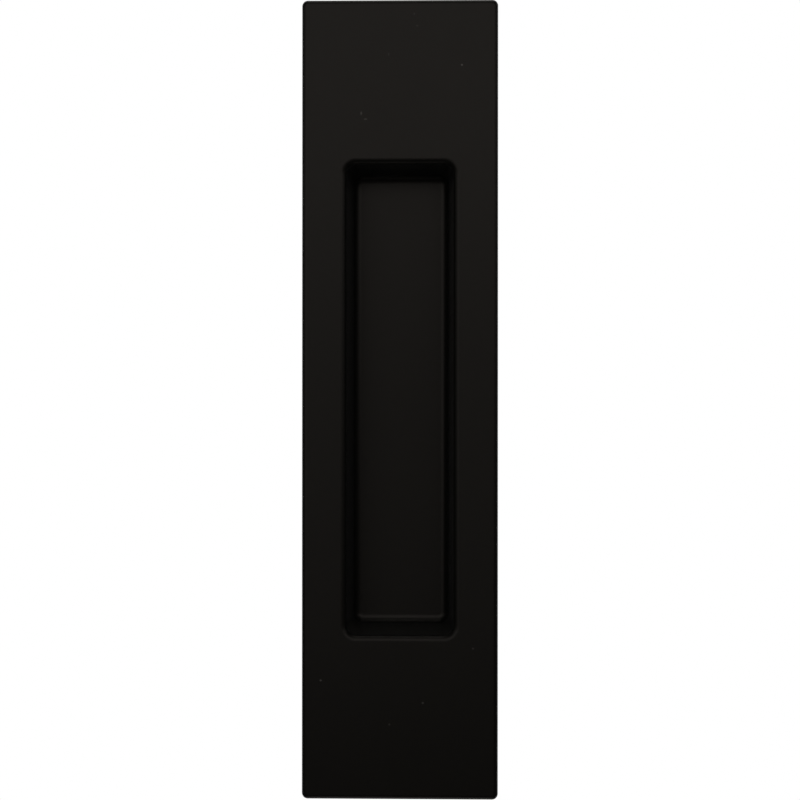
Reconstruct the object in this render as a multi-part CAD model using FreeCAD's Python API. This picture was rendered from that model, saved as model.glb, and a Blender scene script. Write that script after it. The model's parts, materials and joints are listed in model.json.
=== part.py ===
import FreeCAD, Part
import math
import os

# Recessed pull for a pocket door: one casting with a flat plate, a drafted finger
# recess, a ribbed hollow back and two tapped bosses. Lengths are in millimetres.
# The frame is the fitted one: +Z is up the door, +X to the right of someone facing
# the pull, and +Y into the door. The origin is the centre of the plate's back face.

# Plate
plate_width = 40.0
plate_length = 163.0
plate_thickness = 3.0
plate_corner_radius = 1.2
plate_edge_radius = 1.0

# Finger recess, its width and length taken at the face as if the mouth were sharp
recess_width = 22.0
recess_length = 96.2
recess_depth = 12.5
recess_corner_radius = 2.0
recess_draft_degrees = 5.0
mouth_radius = 1.2
floor_radius = 1.7

# Casting wall, which the plate, the sides of the cup and its floor share
casting_wall = 1.8
casting_draft_degrees = 1.5
root_radius = 0.6

# Hollow in the back of the plate, and the ribs that cross it
hollow_rim = 2.0
hollow_corner_radius = 1.0
rib_thickness = 1.2
rib_pitch = 15.0

# Tapped bosses for the fixing screws
boss_from_plate_end = 16.5
boss_height = 7.0
boss_wall = 2.0
boss_chamfer = 0.4
thread_diameter = 4.0
thread_skin = 1.4
drill_point_degrees = 118.0

# Round marks that the ejector pins leave on the back of the cup
ejector_diameter = 5.0
ejector_depth = 0.2
ejector_pitch = 30.0

# How far a cutter runs past the face it cuts, and a rib into the wall it grows from
OVERSHOOT = 1.0
OVERLAP = 0.5
# Largest share of a wall or corner that a fillet on it may take
FILLET_SHARE = 0.95

face_y = -plate_thickness
floor_y = face_y + recess_depth
cup_back_y = floor_y + casting_wall
hollow_y = face_y + casting_wall
recess_slope = -math.tan(math.radians(recess_draft_degrees))
casting_slope = math.tan(math.radians(casting_draft_degrees))
boss_z = plate_length / 2 - boss_from_plate_end
INTO_DOOR = FreeCAD.Vector(0, 1, 0)


def block(width, length, corner_radius, y_from, y_to, slope=0.0, y_sized=0.0):
    """Block between two planes with rounded corners, drafted by slope along Y.

    The width and length are those in the plane y_sized.
    """
    x_from, x_to = (width / 2 + slope * (y - y_sized) for y in (y_from, y_to))
    z_from, z_to = (length / 2 + slope * (y - y_sized) for y in (y_from, y_to))
    solid = Part.makeWedge(
        -x_from, y_from, -z_from, -z_to, -x_to, x_from, y_to, z_from, z_to, x_to
    )
    corners = [edge for edge in solid.Edges if edge.BoundBox.YLength > (y_to - y_from) / 2]
    return solid.makeFillet(corner_radius, corners)


def edges_at(shape, y, within_x, within_z):
    """Edges that lie in the plane at y and within the given half width and half length."""
    found = []
    for edge in shape.Edges:
        box = edge.BoundBox
        level = max(abs(box.YMin - y), abs(box.YMax - y)) < 0.001
        inside_x = max(-box.XMin, box.XMax) < within_x
        inside_z = max(-box.ZMin, box.ZMax) < within_z
        if level and inside_x and inside_z:
            found.append(edge)
    return found


def plate():
    """Front plate with rounded corners and a rounded front edge."""
    slab = block(plate_width, plate_length, plate_corner_radius, face_y, 0)
    radius = min(plate_edge_radius, FILLET_SHARE * plate_corner_radius)
    return slab.makeFillet(radius, edges_at(slab, face_y, plate_width, plate_length))


def back_hollow():
    """Air in the back of the plate, inside its rim, with a rounded floor edge."""
    width = plate_width - 2 * hollow_rim
    length = plate_length - 2 * hollow_rim
    air = block(width, length, hollow_corner_radius, hollow_y, OVERSHOOT, casting_slope)
    radius = min(root_radius, FILLET_SHARE * hollow_corner_radius)
    return air.makeFillet(radius, edges_at(air, hollow_y, width, length))


def recess():
    """Air inside the finger recess, with a rounded floor edge."""
    start = face_y - OVERSHOOT
    air = block(
        recess_width, recess_length, recess_corner_radius, start, floor_y, recess_slope, face_y
    )
    radius = min(floor_radius, FILLET_SHARE * recess_corner_radius)
    return air.makeFillet(radius, edges_at(air, floor_y, recess_width, recess_length))


def cup():
    """Outside of the cup, one casting wall away from the recess."""
    width = recess_width + 2 * casting_wall
    length = recess_length + 2 * casting_wall
    corner = recess_corner_radius + casting_wall
    start = hollow_y - OVERLAP
    outside = block(width, length, corner, start, cup_back_y, recess_slope, face_y)
    radius = min(floor_radius + casting_wall, FILLET_SHARE * corner)
    return outside.makeFillet(radius, edges_at(outside, cup_back_y, width, length))


def rib(length):
    """Drafted rib along X at the origin, flush with the back face of the plate."""
    low = hollow_y - OVERLAP
    tip = rib_thickness / 2
    root = tip - casting_slope * low
    section = [
        FreeCAD.Vector(-length / 2, 0, -tip),
        FreeCAD.Vector(-length / 2, 0, tip),
        FreeCAD.Vector(-length / 2, low, root),
        FreeCAD.Vector(-length / 2, low, -root),
    ]
    outline = Part.Face(Part.makePolygon(section + section[:1]))
    return outline.extrude(FreeCAD.Vector(length, 0, 0))


def along_pitch(pitch, span):
    """Places at a pitch, centred on zero, that fit within a span."""
    count = int(span / 2 / pitch)
    return [i * pitch for i in range(-count, count + 1)]


def ribs():
    """Ribs across the plate beside the cup and at the bosses, and one down its middle."""
    spine = rib(plate_length - hollow_rim)
    spine.rotate(FreeCAD.Vector(), INTO_DOOR, 90)
    made = [spine]
    for z in along_pitch(rib_pitch, recess_length) + [-boss_z, boss_z]:
        cross = rib(plate_width - hollow_rim)
        cross.translate(FreeCAD.Vector(0, 0, z))
        made.append(cross)
    return made


def turned(profile):
    """Solid of revolution about Y of a closed profile, given as radius and y."""
    points = [FreeCAD.Vector(radius, y, 0) for radius, y in profile]
    outline = Part.Face(Part.makePolygon(points + points[:1]))
    return outline.revolve(FreeCAD.Vector(), INTO_DOOR, 360)


def at_bosses(shape):
    """Copies of a shape at the two fixing points."""
    copies = []
    for z in (-boss_z, boss_z):
        copy = shape.copy()
        copy.translate(FreeCAD.Vector(0, 0, z))
        copies.append(copy)
    return copies


def boss():
    """Drafted round post that stands on the floor of the hollow."""
    tip = thread_diameter / 2 + boss_wall
    low = hollow_y - OVERLAP
    root = tip + casting_slope * (boss_height - low)
    return turned([
        (0, low),
        (root, low),
        (tip, boss_height - boss_chamfer),
        (tip - boss_chamfer, boss_height),
        (0, boss_height),
    ])


def tapped_hole():
    """Blind hole of the thread's full diameter, with a drill point and a lead-in chamfer."""
    radius = thread_diameter / 2
    point = radius / math.tan(math.radians(drill_point_degrees / 2))
    bottom = face_y + thread_skin
    lead = boss_height - boss_chamfer
    return turned([
        (0, bottom),
        (radius, bottom + point),
        (radius, lead),
        (radius + boss_chamfer, boss_height),
        (radius + boss_chamfer, boss_height + OVERSHOOT),
        (0, boss_height + OVERSHOOT),
    ])


def shell():
    """Hollowed plate with the cup and the bosses standing in it on rounded roots."""
    joined = plate().cut(back_hollow()).fuse([cup()] + at_bosses(boss()))
    inside_x = plate_width / 2 - hollow_rim - 2 * root_radius
    inside_z = plate_length / 2 - hollow_rim - 2 * root_radius
    return joined.makeFillet(root_radius, edges_at(joined, hollow_y, inside_x, inside_z))


def ejector_marks():
    """Shallow round marks down the middle of the back of the cup."""
    marks = []
    for z in along_pitch(ejector_pitch, recess_length - 2 * ejector_diameter):
        base = FreeCAD.Vector(0, cup_back_y - ejector_depth, z)
        marks.append(Part.makeCylinder(ejector_diameter / 2, OVERSHOOT, base, INTO_DOOR))
    return marks


def pull_body():
    """The whole casting."""
    air = [recess()] + at_bosses(tapped_hole()) + ejector_marks()
    solid = shell().fuse(ribs()).cut(air).removeSplitter()
    inside_x = recess_width / 2 + casting_wall
    inside_z = recess_length / 2 + casting_wall
    radius = min(mouth_radius, FILLET_SHARE * casting_wall)
    return solid.makeFillet(radius, edges_at(solid, face_y, inside_x, inside_z))


def main():
    os.makedirs("parts", exist_ok=True)
    body = pull_body().Solids[0]
    body.exportStep("parts/pull_body.step")
    box = body.optimalBoundingBox(True, False)
    print("valid", body.isValid(), "volume", round(body.Volume, 1))
    print("size", round(box.XLength, 3), round(box.YLength, 3), round(box.ZLength, 3))
    print("front", round(box.YMin, 3), "boss spacing", 2 * boss_z)


main()
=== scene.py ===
import json
import math

import bmesh
import bpy
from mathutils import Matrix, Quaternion, Vector

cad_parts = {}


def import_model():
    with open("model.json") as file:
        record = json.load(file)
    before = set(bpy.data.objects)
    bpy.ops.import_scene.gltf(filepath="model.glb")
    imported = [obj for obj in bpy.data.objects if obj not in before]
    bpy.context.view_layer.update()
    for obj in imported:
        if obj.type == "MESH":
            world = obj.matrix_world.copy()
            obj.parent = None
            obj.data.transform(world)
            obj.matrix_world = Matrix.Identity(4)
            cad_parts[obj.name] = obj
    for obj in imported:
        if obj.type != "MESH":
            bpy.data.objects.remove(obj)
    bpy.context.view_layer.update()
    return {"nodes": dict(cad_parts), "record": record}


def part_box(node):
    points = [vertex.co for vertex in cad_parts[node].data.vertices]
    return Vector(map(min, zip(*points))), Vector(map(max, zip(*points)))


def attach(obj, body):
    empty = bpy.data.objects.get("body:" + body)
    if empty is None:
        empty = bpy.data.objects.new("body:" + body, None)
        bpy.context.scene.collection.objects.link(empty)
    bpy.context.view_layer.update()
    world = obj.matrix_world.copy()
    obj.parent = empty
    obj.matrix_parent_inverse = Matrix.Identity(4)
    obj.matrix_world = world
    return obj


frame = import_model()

# Recessed pull for a pocket door, in black satin paint. Lengths are in metres.
# The frame has +Z up the door, +X to the right from the front, and +Y into the door.

MM = 0.001
WHITE = (1, 1, 1, 1)

# Places and sizes of the casting
body_low, body_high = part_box("pull_body")
face_y = body_low.y
cup_back_y = body_high.y
mount_sizes = {mount["name"]: mount["dims"] for mount in frame["record"]["mounts"]}
boss_spacing = mount_sizes["fixing_holes"]["spacing_y_mm"] * MM
hole_radius = mount_sizes["fixing_holes"]["hole_r_mm"] * MM

# Camera, measured from the centre of the plate's face, the point that it is aimed at, and
# the width that it sees at the face
camera_distance = 320 * MM
camera_right = 7.1 * MM
camera_up = 2.6 * MM
aim_right = 0.04 * MM
aim_up = 2.54 * MM
seen_width = 162.75 * MM
camera_shift_up = -0.016
camera_roll_degrees = 0.03
sensor_width = 36.0
clip_near = 0.01
clip_far = 20.0

# Pale floor below the object, which fades to the white background
floor_drop = 170 * MM
floor_radius = 3.0
floor_steps = 60
floor_fade_from = 0.12
floor_fade_to = 0.33
floor_colour = (0.82, 0.82, 0.81, 1)
floor_roughness = 0.6

# Soft even light of the room, and the white background where it is seen
room_light = 0.7
background_light = 1.0

# Dark card below, above and round the front and sides, seen only in the object's gloss. It
# has a round opening under the object and a larger one over it.
card_radius = 1.0
card_floor_opening = 0.045
card_above_floor = 5 * MM
card_height = 1.30
card_roof_opening = 0.35
card_half_angle_degrees = 118
card_steps = 60
card_glow = 0.01

# Soft boxes in front of the card: azimuth to the right and elevation in degrees, width,
# height, and how bright they look next to the background
soft_box_distance = 0.95
soft_boxes = {
    "soft_box_left": (-27, 16, 0.42, 0.30, 0.91),
    "soft_box_middle": (0, 16, 0.46, 0.30, 0.80),
    "soft_box_right": (27, 16, 0.42, 0.30, 0.98),
    "soft_box_upper": (0, 37, 0.60, 0.38, 0.49),
    "fill_left": (-27, -2, 0.42, 0.24, 0.63),
    "fill_right": (27, -2, 0.42, 0.24, 0.02),
    "fill_low": (0, -8, 0.46, 0.06, 1.07),
    "side_left": (-62, 14, 0.45, 0.34, 0.38),
    "side_right": (62, 14, 0.45, 0.34, 0.50),
}

# Detail of all noise but the cast grain
noise_detail = 2.0

# Black satin paint, with patches between its two roughness values
paint_colour = (0.0014, 0.0014, 0.0010, 1)
paint_gloss = 0.3
paint_gloss_tint = (1.0, 0.91, 0.83, 1)
paint_sheen = 0.011
paint_sheen_roughness = 0.5
paint_roughness = (0.36, 0.40)
paint_patches_per_metre = 140
paint_grain_per_metre = 2600
paint_grain_height = 0.0016 * MM

# Rougher cast surface behind the plate, under the same paint
cast_roughness = (0.50, 0.60)
cast_grain_per_metre = 900
cast_grain_detail = 4.0
cast_grain_height = 0.012 * MM
cast_from_y = -0.5 * MM

# Block of space that ends inside the walls and floor of the cup, and so holds only the recess
recess_half_width = 11.3 * MM
recess_half_length = 48.4 * MM
recess_end_before_back = 1.0 * MM

# Dust on the face. Each speck has its place to the right and up from the middle of the face,
# its width and height, all in millimetres, and how much it covers. It is even out to the
# full share of its radius and fades from there to a wobbly edge.
dust_colour = (0.11, 0.105, 0.10, 1)
dust_depth = 1 * MM
dust_full_share = 0.45
dust_wobble = 0.12 * MM
dust_wobble_per_metre = 2500
dust_specks = [
    (12.6, 68.1, 0.55, 0.50, 0.34),
    (-7.9, 58.3, 0.45, 0.90, 0.22),
    (-7.0, 57.1, 0.90, 0.40, 0.20),
    (14.9, -50.6, 0.50, 0.45, 0.20),
    (-16.1, -57.2, 0.55, 0.50, 0.30),
    (4.7, -61.7, 0.50, 0.55, 0.20),
    (-2.1, -66.1, 0.50, 0.50, 0.17),
    (2.9, 78.5, 0.40, 0.70, 0.10),
    (3.5, 76.1, 0.60, 0.40, 0.10),
    (-2.3, 70.3, 0.35, 0.80, 0.10),
]

# Ridge of an M4 thread, with the proportions of a metric thread of its pitch. It rises at
# both ends over part of a turn, and its root is sunk a little into the wall of the hole.
thread_pitch = 0.7 * MM
thread_depth = 5 / 8 * math.cos(math.radians(30)) * thread_pitch
thread_root_width = 7 / 8 * thread_pitch
thread_crest_width = thread_pitch / 4
thread_start_y = 0.1 * MM
thread_end_y = 6.4 * MM
thread_embed = 0.03 * MM
thread_steps_per_turn = 40
thread_lead_turns = 0.6
thread_least_lead = 0.05

# Bare zinc of the threads and the tapped holes
zinc_colour = (0.50, 0.51, 0.52, 1)
zinc_roughness = (0.28, 0.42)
zinc_grain_per_metre = 1800
zinc_margin = 0.05 * MM
zinc_from_face = 1 * MM


def node_material(name):
    """New material with an empty node tree, apart from its output."""
    material = bpy.data.materials.new(name)
    material.use_nodes = True
    material.node_tree.nodes.clear()
    output = material.node_tree.nodes.new("ShaderNodeOutputMaterial")
    return material, material.node_tree, output


def add(tree, kind, **settings):
    """New node with the given properties."""
    node = tree.nodes.new(kind)
    for key, value in settings.items():
        setattr(node, key, value)
    return node


def feed(tree, socket, value):
    """Link a socket to another node's output, or set it to a plain value."""
    if isinstance(value, bpy.types.NodeSocket):
        tree.links.new(value, socket)
    else:
        socket.default_value = value


def calculate(tree, operation, *values):
    """Result of a math node on numbers or outputs."""
    node = add(tree, "ShaderNodeMath", operation=operation)
    for socket, value in zip(node.inputs, values):
        feed(tree, socket, value)
    return node.outputs["Value"]


def calculate_vector(tree, operation, *values):
    """Result of a vector math node on vectors or outputs."""
    node = add(tree, "ShaderNodeVectorMath", operation=operation)
    for socket, value in zip(node.inputs, values):
        feed(tree, socket, value)
    return node.outputs["Value" if operation == "LENGTH" else "Vector"]


def noise(tree, place, per_metre, detail=noise_detail):
    """Noise node in the object's own metres."""
    node = add(tree, "ShaderNodeTexNoise")
    node.inputs["Scale"].default_value = per_metre
    node.inputs["Detail"].default_value = detail
    tree.links.new(place, node.inputs["Vector"])
    return node


def spread(tree, value, low, high, start=0.0, end=1.0):
    """Value mapped from the range start to end, to the range low to high."""
    node = add(tree, "ShaderNodeMapRange")
    feed(tree, node.inputs["Value"], value)
    feed(tree, node.inputs["From Min"], start)
    feed(tree, node.inputs["From Max"], end)
    feed(tree, node.inputs["To Min"], low)
    feed(tree, node.inputs["To Max"], high)
    return node.outputs["Result"]


def blend_colour(tree, share, first, second):
    """Colour between two others by a share from 0 to 1."""
    node = add(tree, "ShaderNodeMix", data_type="RGBA")
    feed(tree, node.inputs["Factor"], share)
    colours = [socket for socket in node.inputs if socket.type == "RGBA"]
    feed(tree, colours[0], first)
    feed(tree, colours[1], second)
    return [socket for socket in node.outputs if socket.type == "RGBA"][0]


def principled(tree, settings):
    """Principled shader with the given sockets set or linked."""
    shader = add(tree, "ShaderNodeBsdfPrincipled")
    for name, value in settings.items():
        feed(tree, shader.inputs[name], value)
    return shader.outputs["BSDF"]


def blend_shaders(tree, share, first, second):
    """Shader between two others by a share from 0 to 1."""
    mix = add(tree, "ShaderNodeMixShader")
    for socket, value in zip(mix.inputs, (share, first, second)):
        tree.links.new(value, socket)
    return mix.outputs["Shader"]


def tapped_hole_mask(tree, x, y, z):
    """1 on the walls of the two tapped holes."""
    along = calculate(tree, "SUBTRACT", calculate(tree, "ABSOLUTE", z), boss_spacing / 2)
    squares = [calculate(tree, "POWER", side, 2) for side in (x, along)]
    across = calculate(tree, "ADD", *squares)
    inside = calculate(tree, "LESS_THAN", across, (hole_radius + zinc_margin) ** 2)
    behind_face = calculate(tree, "GREATER_THAN", y, face_y + zinc_from_face)
    return calculate(tree, "MULTIPLY", inside, behind_face)


def cast_mask(tree, x, y, z):
    """1 on the back of the plate and the outside of the cup."""
    narrow = calculate(tree, "LESS_THAN", calculate(tree, "ABSOLUTE", x), recess_half_width)
    short = calculate(tree, "LESS_THAN", calculate(tree, "ABSOLUTE", z), recess_half_length)
    in_front = calculate(tree, "LESS_THAN", y, cup_back_y - recess_end_before_back)
    in_recess = calculate(tree, "MULTIPLY", calculate(tree, "MULTIPLY", narrow, short), in_front)
    behind = calculate(tree, "GREATER_THAN", y, cast_from_y)
    return calculate(tree, "MULTIPLY", behind, calculate(tree, "SUBTRACT", 1.0, in_recess))


def dust_mask(tree, place):
    """How much dust covers each point of the face, from 0 to 1."""
    waves = noise(tree, place, dust_wobble_per_metre).outputs["Color"]
    wobbled = calculate_vector(tree, "MULTIPLY_ADD", waves, (dust_wobble,) * 3, place)
    mean_wobble = Vector((dust_wobble / 2,) * 3)
    covered = 0.0
    for right, up, width, height, cover in dust_specks:
        middle = Vector((right * MM, face_y, up * MM)) + mean_wobble
        offset = calculate_vector(tree, "SUBTRACT", wobbled, middle)
        stretch = (2 / (width * MM), 2 / dust_depth, 2 / (height * MM))
        stretched = calculate_vector(tree, "MULTIPLY", offset, stretch)
        reach = calculate_vector(tree, "LENGTH", stretched)
        speck = spread(tree, reach, cover, 0.0, dust_full_share, 1.0)
        covered = calculate(tree, "MAXIMUM", speck, covered)
    return covered


def grain(tree, height, scale, before=None):
    """Bump from a height from 0 to 1 that stands for the given size."""
    node = add(tree, "ShaderNodeBump")
    node.inputs["Strength"].default_value = 1.0
    feed(tree, node.inputs["Distance"], scale)
    tree.links.new(height, node.inputs["Height"])
    if before is not None:
        tree.links.new(before, node.inputs["Normal"])
    return node.outputs["Normal"]


def paint_grain(tree, place, cast):
    """Bump of the paint's fine grain, with that of the cast surface where it is rough."""
    fine = noise(tree, place, paint_grain_per_metre).outputs["Fac"]
    coarse = noise(tree, place, cast_grain_per_metre, cast_grain_detail).outputs["Fac"]
    cast_height = calculate(tree, "MULTIPLY", cast, cast_grain_height)
    return grain(tree, coarse, cast_height, grain(tree, fine, paint_grain_height))


def black_paint():
    """Satin black paint on the casting, with bare metal inside the tapped holes."""
    material, tree, output = node_material("satin_black_paint")
    place = add(tree, "ShaderNodeTexCoord").outputs["Object"]
    parts = add(tree, "ShaderNodeSeparateXYZ")
    tree.links.new(place, parts.inputs["Vector"])
    x, y, z = (parts.outputs[name] for name in "XYZ")
    cast = cast_mask(tree, x, y, z)
    bare = tapped_hole_mask(tree, x, y, z)
    patches = noise(tree, place, paint_patches_per_metre).outputs["Fac"]
    smooth = spread(tree, patches, *paint_roughness)
    rough = spread(tree, patches, *cast_roughness)
    cut = spread(tree, patches, *zinc_roughness)
    painted = spread(tree, cast, smooth, rough)
    dusty = blend_colour(tree, dust_mask(tree, place), paint_colour, dust_colour)
    surface = principled(tree, {
        "Specular IOR Level": paint_gloss,
        "Specular Tint": paint_gloss_tint,
        "Sheen Weight": paint_sheen,
        "Sheen Roughness": paint_sheen_roughness,
        "Base Color": blend_colour(tree, bare, dusty, zinc_colour),
        "Metallic": bare,
        "Roughness": spread(tree, bare, painted, cut),
        "Normal": paint_grain(tree, place, cast),
    })
    tree.links.new(surface, output.inputs["Surface"])
    return material


def bare_zinc():
    """Cut zinc of the tapped threads."""
    material, tree, output = node_material("cut_zinc")
    place = add(tree, "ShaderNodeTexCoord").outputs["Object"]
    streaks = noise(tree, place, zinc_grain_per_metre).outputs["Fac"]
    surface = principled(tree, {
        "Base Color": zinc_colour,
        "Metallic": 1.0,
        "Roughness": spread(tree, streaks, *zinc_roughness),
    })
    tree.links.new(surface, output.inputs["Surface"])
    return material


def new_object(name, mesh, material):
    """Object in the scene from a bmesh, with one material."""
    bmesh.ops.recalc_face_normals(mesh, faces=mesh.faces)
    data = bpy.data.meshes.new(name)
    mesh.to_mesh(data)
    mesh.free()
    data.materials.append(material)
    made = bpy.data.objects.new(name, data)
    bpy.context.scene.collection.objects.link(made)
    return made


def skin(mesh, rings, closed):
    """Faces between each ring of points and the next, closed round the ring or open."""
    for ring, following in zip(rings, rings[1:]):
        last = len(ring) if closed else len(ring) - 1
        for j in range(last):
            k = (j + 1) % len(ring)
            mesh.faces.new((ring[j], ring[k], following[k], following[j]))


def thread_section(lead):
    """Section of the ridge at a share of its full size, as radius and place along the hole."""
    crest = hole_radius - thread_depth * lead
    root = hole_radius + thread_embed
    half_root = thread_root_width / 2 * lead
    half_crest = thread_crest_width / 2 * lead
    return [(root, -half_root), (crest, -half_crest), (crest, half_crest), (root, half_root)]


def thread(name, centre_z, material):
    """Ridge of the internal thread, wound up the wall of one tapped hole."""
    mesh = bmesh.new()
    turns = (thread_end_y - thread_start_y) / thread_pitch
    steps = round(turns * thread_steps_per_turn)
    rings = []
    for i in range(steps + 1):
        turn = i / thread_steps_per_turn
        lead = min(1.0, turn / thread_lead_turns, (turns - turn) / thread_lead_turns)
        angle = 2 * math.pi * turn
        middle = thread_start_y + turn * thread_pitch
        ring = []
        for radius, along in thread_section(max(thread_least_lead, lead)):
            x = radius * math.cos(angle)
            z = centre_z + radius * math.sin(angle)
            ring.append(mesh.verts.new((x, middle + along, z)))
        rings.append(ring)
    skin(mesh, rings, closed=True)
    mesh.faces.new(rings[0])
    mesh.faces.new(rings[-1][::-1])
    piece = new_object(name, mesh, material)
    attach(piece, "root")


def seen_ray(tree):
    """1 for rays by which the background is seen, directly, in gloss or through glass."""
    path = add(tree, "ShaderNodeLightPath")
    seen = path.outputs["Is Camera Ray"]
    for name in ("Is Glossy Ray", "Is Transmission Ray"):
        seen = calculate(tree, "MAXIMUM", seen, path.outputs[name])
    return seen


def white_light(tree, strength):
    """Even white light for the world."""
    node = add(tree, "ShaderNodeBackground")
    node.inputs["Color"].default_value = WHITE
    node.inputs["Strength"].default_value = strength
    return node.outputs["Background"]


def world():
    """Soft even light, with a white background where it is seen."""
    made = bpy.data.worlds.new("studio")
    made.use_nodes = True
    made.cycles.sampling_method = "NONE"
    tree = made.node_tree
    tree.nodes.clear()
    light = white_light(tree, room_light)
    white = white_light(tree, background_light)
    output = add(tree, "ShaderNodeOutputWorld")
    tree.links.new(blend_shaders(tree, seen_ray(tree), light, white), output.inputs["Surface"])
    bpy.context.scene.world = made


def glow(tree, strength):
    """White surface that gives off light of its own."""
    node = add(tree, "ShaderNodeEmission")
    node.inputs["Color"].default_value = WHITE
    node.inputs["Strength"].default_value = strength
    return node.outputs["Emission"]


def floor():
    """Plain pale floor that keeps the shadow under the object and fades to white round it."""
    material, tree, output = node_material("pale_floor")
    place = add(tree, "ShaderNodeTexCoord").outputs["Object"]
    reach = calculate_vector(tree, "LENGTH", place)
    away = spread(tree, reach, 0.0, 1.0, floor_fade_from, floor_fade_to)
    fade = calculate(tree, "MULTIPLY", away, seen_ray(tree))
    pale = principled(tree, {"Base Color": floor_colour, "Roughness": floor_roughness})
    surface = blend_shaders(tree, fade, pale, glow(tree, background_light))
    tree.links.new(surface, output.inputs["Surface"])
    mesh = bmesh.new()
    bmesh.ops.create_circle(mesh, cap_ends=True, segments=floor_steps, radius=floor_radius)
    made = new_object("floor", mesh, material)
    made.location = (0, 0, -floor_drop)


def dark_card():
    """Card below, above and round the front and sides, seen only in the object's gloss."""
    material, tree, output = node_material("dark_card")
    tree.links.new(glow(tree, card_glow), output.inputs["Surface"])
    low = -floor_drop + card_above_floor
    high = low + card_height
    section = [
        (card_floor_opening, low),
        (card_radius, low),
        (card_radius, high),
        (card_roof_opening, high),
    ]
    mesh = bmesh.new()
    rings = []
    half_angle = math.radians(card_half_angle_degrees)
    for i in range(card_steps + 1):
        azimuth = half_angle * (2 * i / card_steps - 1)
        outward = Vector((math.sin(azimuth), -math.cos(azimuth), 0))
        points = [outward * radius + Vector((0, 0, z)) for radius, z in section]
        rings.append([mesh.verts.new(point) for point in points])
    skin(mesh, rings, closed=False)
    made = new_object("dark_card", mesh, material)
    made.visible_camera = False
    made.visible_diffuse = False
    made.visible_transmission = False
    made.visible_shadow = False


def soft_box(name, azimuth_degrees, elevation_degrees, width, height, brightness):
    """Soft box turned to the object, at an azimuth to the right and an elevation."""
    azimuth = math.radians(azimuth_degrees)
    elevation = math.radians(elevation_degrees)
    outward = Vector((math.sin(azimuth), -math.cos(azimuth), 0)) * math.cos(elevation)
    outward.z = math.sin(elevation)
    data = bpy.data.lights.new(name, "AREA")
    data.shape = "RECTANGLE"
    data.size = width
    data.size_y = height
    # Pi watts from each square metre look as bright as a background of strength 1
    data.energy = brightness * math.pi * width * height
    lamp = bpy.data.objects.new(name, data)
    lamp.location = outward * soft_box_distance
    lamp.rotation_mode = "QUATERNION"
    lamp.rotation_quaternion = (-outward).to_track_quat("-Z", "Y")
    lamp.visible_camera = False
    bpy.context.scene.collection.objects.link(lamp)


def camera():
    """Camera in front of the plate, a little to its right and above its middle."""
    data = bpy.data.cameras.new("camera")
    target = Vector((aim_right, face_y, aim_up))
    place = Vector((camera_right, face_y - camera_distance, camera_up))
    data.sensor_width = sensor_width
    data.lens = sensor_width * camera_distance / seen_width
    data.shift_y = camera_shift_up
    data.clip_start = clip_near
    data.clip_end = clip_far
    made = bpy.data.objects.new("camera", data)
    made.location = place
    made.rotation_mode = "QUATERNION"
    roll = Quaternion((0, 0, 1), math.radians(camera_roll_degrees))
    made.rotation_quaternion = (target - place).to_track_quat("-Z", "Y") @ roll
    bpy.context.scene.collection.objects.link(made)
    bpy.context.scene.camera = made


def main():
    """Paint the casting, add the threads, and set the floor, lights and camera round it."""
    body = frame["nodes"]["pull_body"]
    body.data.materials.clear()
    body.data.materials.append(black_paint())
    zinc = bare_zinc()
    thread("thread_upper", boss_spacing / 2, zinc)
    thread("thread_lower", -boss_spacing / 2, zinc)
    world()
    floor()
    dark_card()
    for name, settings in soft_boxes.items():
        soft_box(name, *settings)
    camera()
    bpy.context.scene.view_settings.view_transform = "Standard"


main()
